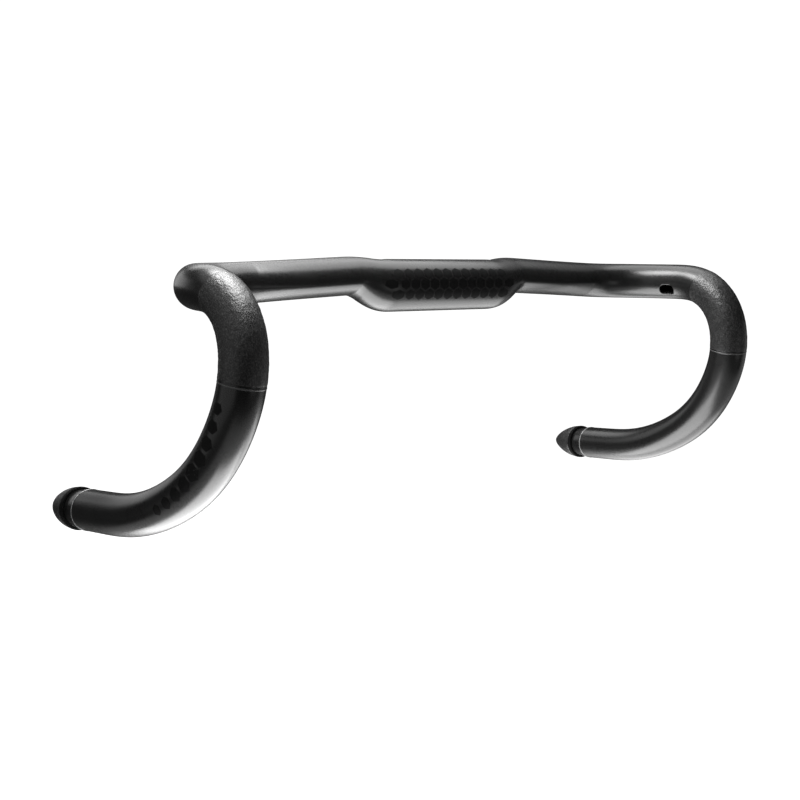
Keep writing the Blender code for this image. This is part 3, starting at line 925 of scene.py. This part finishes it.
def make_stud(name):
    """Threaded stud: a fine helix as relief on the shank, a plain end in the cap."""
    body = Body()
    sides = 28
    theta = 2.0 * math.pi * np.arange(sides) / sides
    low, high = Z_CAP + 8.6 - STUD_LEN - 0.6, Z_CAP + 8.6
    zs = np.arange(low + 0.5, high - 6.0, PITCH / 6.0)
    rows = [body.add(np.array([[0.0, 0.0, low * MM]]))]
    shape = [(STUD_R - 0.7, low)]
    for z in zs:
        turn = (z / PITCH - theta / (2.0 * math.pi)) % 1.0
        crest = 1.0 - np.abs(2.0 * turn - 1.0)
        fade = smooth((z - low) / 1.2) * smooth((high - 6.0 - z) / 0.8)
        r = STUD_R - 0.46 * (1.0 - smooth((crest - 0.08) / 0.84)) * max(fade, 0.15) - 0.25 * (1.0 - smooth((z - low) / 0.9))
        rows.append(body.add(np.stack((r * np.cos(theta), r * np.sin(theta), np.full(sides, z)), axis=-1) * MM))
    for r, z in ((STUD_R - 0.02, high - 5.9), (STUD_R - 0.02, high - 0.3), (STUD_R - 0.3, high)):
        rows.append(body.add(np.stack((r * np.cos(theta), r * np.sin(theta), np.full(sides, z)), axis=-1) * MM))
    rows.append(body.add(np.array([[0.0, 0.0, high * MM]])))
    for a, b in zip(rows, rows[1:]):
        for i in range(sides):
            j = (i + 1) % sides
            if len(a) == 1:
                body.faces.append([a[0], b[j], b[i]])
            elif len(b) == 1:
                body.faces.append([a[i], a[j], b[0]])
            else:
                body.faces.append([a[i], a[j], b[j], b[i]])
    return body.make(name, STEEL, 60.0)


def box(size, middle, turn):
    bm = bmesh.new()
    bmesh.ops.create_cube(bm, size=1.0)
    bmesh.ops.scale(bm, vec=Vector(size) * MM, verts=bm.verts[:])
    bmesh.ops.translate(bm, vec=Vector(middle) * MM, verts=bm.verts[:])
    bmesh.ops.rotate(bm, matrix=Matrix.Rotation(turn, 3, "Z"), verts=bm.verts[:])
    mesh = bpy.data.meshes.new("tool")
    bm.to_mesh(mesh)
    bm.free()
    obj = bpy.data.objects.new("tool", mesh)
    bpy.context.scene.collection.objects.link(obj)
    return obj


def worked(obj, tools, operation, name, material, sharp=35.0):
    """The object with tools cut from it or joined to it, as one plain mesh."""
    for tool in tools:
        mod = obj.modifiers.new("work", "BOOLEAN")
        mod.operation, mod.solver, mod.object = operation, "EXACT", tool
    applied(obj)
    for tool in tools:
        bpy.data.objects.remove(tool, do_unlink=True)
    mesh = obj.data
    mesh.materials.clear()
    mesh.materials.append(material)
    for polygon in mesh.polygons:
        polygon.material_index = 0
    mesh.shade_smooth()
    mesh.set_sharp_from_angle(angle=math.radians(sharp))
    return obj


def make_sleeve(name):
    taper, grip = 7.0, EXP_R - GAP
    ribs = []
    for k in range(5):
        z = Z_END + 1.2 + 2.4 * k
        ribs += [(EXP_R, z), (EXP_R, z + 1.3), (grip, z + 1.7), (grip, z + 2.1)]
    profile = rounded([(EXP_BORE, Z_TOP), (EXP_BORE, Z_END + taper), (EXP_BORE + 3.2, Z_END),
                       (EXP_R - 0.3, Z_END)] + ribs + [(EXP_R, Z_END + 13.6), (EXP_R, Z_TOP)], 0.18, 2)
    obj = turned(name, profile[::-1], NYLON, 96, closed=True)
    tools = [box((4 * EXP_R, SLOT_W, 14.0), (0.0, 0.0, Z_END - 7.0 + 13.0), math.radians(90.0 * k)) for k in range(2)]
    return worked(obj, tools, "DIFFERENCE", name, NYLON)


def make_nut(name):
    taper = 7.0
    slope = 3.2 / taper
    z_nose = Z_END + 4.4
    bite = EXP_BORE + (Z_END + taper - z_nose) * slope - 0.42
    z_big = Z_END - 2.2
    wide = bite + (z_nose - z_big) * slope
    profile = rounded([(STUD_R + GAP, z_nose), (STUD_R + GAP, z_big - 3.0), (wide, z_big - 3.0),
                       (wide, z_big), (bite, z_nose)], 0.2, 3)
    obj = turned(name, profile[::-1], ALLOY, 96, closed=True)
    tools = [box((4.6, LUG_W, 6.0), (6.2, 0.0, Z_END + 0.8), math.radians(90.0 * k)) for k in range(4)]
    return worked(obj, tools, "UNION", name, ALLOY)


for side in ("right", "left"):
    cap = make_cap(side + "_acorn_cap")
    place_plug(cap, side, side + "_cap", side + "_end_cap", slot="grained_cap")
    ring = turned(side + "_tape_ring", rounded(
        [(SPIGOT_R + GAP, Z_RING), (RING_R - 0.1, Z_RING), (RING_R, Z_RING + 1.2), (RING_R - 0.1, Z_RING + RING_LEN),
         (SPIGOT_R + GAP, Z_RING + RING_LEN)], 0.7, 5), RUBBER, 96, closed=True)
    place_plug(ring, side, side + "_plug", side + "_seal_ring", slot="black_rubber")
    washer = turned(side + "_flat_washer", rounded(
        [(STUD_R + GAP, Z_WASHER), (WASHER_R, Z_WASHER), (WASHER_R, Z_WASHER + WASHER_LEN),
         (STUD_R + GAP, Z_WASHER + WASHER_LEN)], 0.16, 3), STEEL, 72, closed=True)
    place_plug(washer, side, side + "_plug", side + "_stud_washer", slot="zinc_steel")
    sleeve = make_sleeve(side + "_slotted_sleeve")
    place_plug(sleeve, side, side + "_plug", side + "_expander_sleeve", slot="black_nylon")
    nut = make_nut(side + "_tapered_nut")
    place_plug(nut, side, side + "_wedge", side + "_wedge_nut", slot="plain_alloy")
    stud = make_stud(side + "_m5_stud")
    place_plug(stud, side, side + "_cap", side + "_threaded_stud", slot="zinc_steel")

# the ferrules stay as they are, inside the joints, in woven carbon
for side in ("right", "left"):
    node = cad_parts[side + "_joint_sleeve"]
    if not node.material_slots:
        node.data.materials.append(WEAVE)
    for entry in node.material_slots:
        entry.material = WEAVE


# ---- stage -----------------------------------------------------------------------------------
FLOOR_Z = CAD_LOW.z - 0.30


def bowl():
    """A floor that curves up into a backdrop all round, with no corner."""
    profile = [(0.0, 0.0)]
    for r in np.linspace(0.2, 3.0, 16):
        profile.append((float(r), 0.0))
    for k in range(1, 17):
        a = math.pi / 2 * k / 16
        profile.append((3.0 + 1.5 * math.sin(a), 1.5 * (1.0 - math.cos(a))))
    profile.append((4.5, 4.5))
    bm = bmesh.new()
    sides = 96
    rows = []
    for r, z in profile:
        if r < 1e-6:
            rows.append([bm.verts.new((0.0, 0.0, FLOOR_Z + z))])
        else:
            rows.append([bm.verts.new((r * math.cos(2 * math.pi * i / sides),
                                       r * math.sin(2 * math.pi * i / sides), FLOOR_Z + z)) for i in range(sides)])
    for a, b in zip(rows, rows[1:]):
        for i in range(sides):
            j = (i + 1) % sides
            bm.faces.new((a[0], b[i], b[j]) if len(a) == 1 else (a[i], b[i], b[j], a[j]))
    mesh = bpy.data.meshes.new("studio_floor")
    bm.to_mesh(mesh)
    bm.free()
    mesh.shade_smooth()
    obj = bpy.data.objects.new("studio_floor", mesh)
    bpy.context.scene.collection.objects.link(obj)
    return obj


floor = bowl()
paper = Paint("white_paper")
paper.sock("Base Color", (0.9, 0.9, 0.9, 1.0))
paper.sock("Roughness", 0.9)
paper.sock("Emission Color", (1.0, 1.0, 1.0, 1.0))
paper.sock("Emission Strength", 1.05)
floor.data.materials.append(paper.mat)
floor.visible_glossy = False
floor.visible_diffuse = False
floor.visible_shadow = False

world = bpy.data.worlds.new("studio")
world.use_nodes = True
world.node_tree.nodes["Background"].inputs["Color"].default_value = (0.030, 0.030, 0.030, 1.0)
bpy.context.scene.world = world


def softbox(name, middle, target, width, height, power, shape="RECTANGLE"):
    light = bpy.data.lights.new(name, "AREA")
    light.shape = shape
    light.size, light.size_y = width, height
    light.energy = power
    obj = bpy.data.objects.new(name, light)
    obj.location = middle
    obj.rotation_euler = (Vector(target) - Vector(middle)).to_track_quat("-Z", "Y").to_euler()
    obj.visible_camera = False
    bpy.context.scene.collection.objects.link(obj)
    return obj


# a bright pool on the table under the bar, a second on its left and a dim spread round
# both; a hot panel in a wide softbox overhead with dim ones beside it; dim cards around
softbox("table_pool", (0.05, -0.07, -0.45), (0.05, -0.07, 0.0), 0.46, 0.48, 5.0)
softbox("table_left", (-0.40, -0.10, -0.45), (-0.40, -0.10, 0.0), 0.40, 0.50, 1.9)
softbox("table_spread", (-0.20, 0.00, -0.46), (-0.20, 0.00, 0.0), 1.50, 0.95, 2.8)
softbox("overhead_panel", (0.10, -0.02, 0.38), (0.10, -0.02, 0.0), 0.26, 0.42, 5.0)
softbox("overhead", (-0.14, -0.11, 0.41), (-0.14, -0.11, 0.0), 0.56, 0.46, 2.7)
softbox("overhead_back", (-0.15, -0.66, 0.42), (-0.15, -0.66, 0.0), 0.50, 0.56, 2.0)
softbox("overhead_far", (-0.60, -0.10, 0.42), (-0.60, -0.10, 0.0), 0.35, 0.40, 0.20)
softbox("overhead_near", (0.60, 0.15, 0.43), (0.60, 0.15, 0.0), 0.90, 1.20, 2.2)
softbox("back_card", (0.30, -1.50, 0.25), (0.10, 0.0, 0.0), 0.90, 0.50, 1.3)
softbox("right_card", (1.60, -0.10, 0.00), (0.0, -0.10, 0.0), 2.40, 1.40, 4.4)
softbox("left_low_card", (-0.95, 0.30, -0.20), (0.0, 0.30, -0.20), 0.60, 0.50, 0.4)
softbox("front_low_card", (-0.50, 1.30, -0.30), (-0.50, 0.0, -0.30), 0.70, 0.60, 0.9)

# ---- camera ------------------------------------------------------------------------------------
TURN, DIP = math.radians(37.451), math.radians(6.714)       # yaw off the front, and downward look
AHEAD = Vector((-math.sin(TURN) * math.cos(DIP), -math.cos(TURN) * math.cos(DIP), -math.sin(DIP)))
RIGHT = Vector((-math.cos(TURN), math.sin(TURN), 0.0))
UPWARD = RIGHT.cross(AHEAD)
spot = -(RIGHT * 0.023374 + UPWARD * 0.071819 + AHEAD * 0.702388)
camera = bpy.data.objects.new("camera", bpy.data.cameras.new("camera"))
camera.data.sensor_width = 36.0
camera.data.lens = 1126.238 * 36.0 / 800.0
camera.data.clip_start, camera.data.clip_end = 0.01, 50.0
camera.matrix_world = Matrix((
    (RIGHT.x, UPWARD.x, -AHEAD.x, spot.x),
    (RIGHT.y, UPWARD.y, -AHEAD.y, spot.y),
    (RIGHT.z, UPWARD.z, -AHEAD.z, spot.z),
    (0.0, 0.0, 0.0, 1.0)))
bpy.context.scene.collection.objects.link(camera)
bpy.context.scene.camera = camera
bpy.context.scene.view_settings.view_transform = "Standard"
bpy.context.scene.view_settings.look = "None"
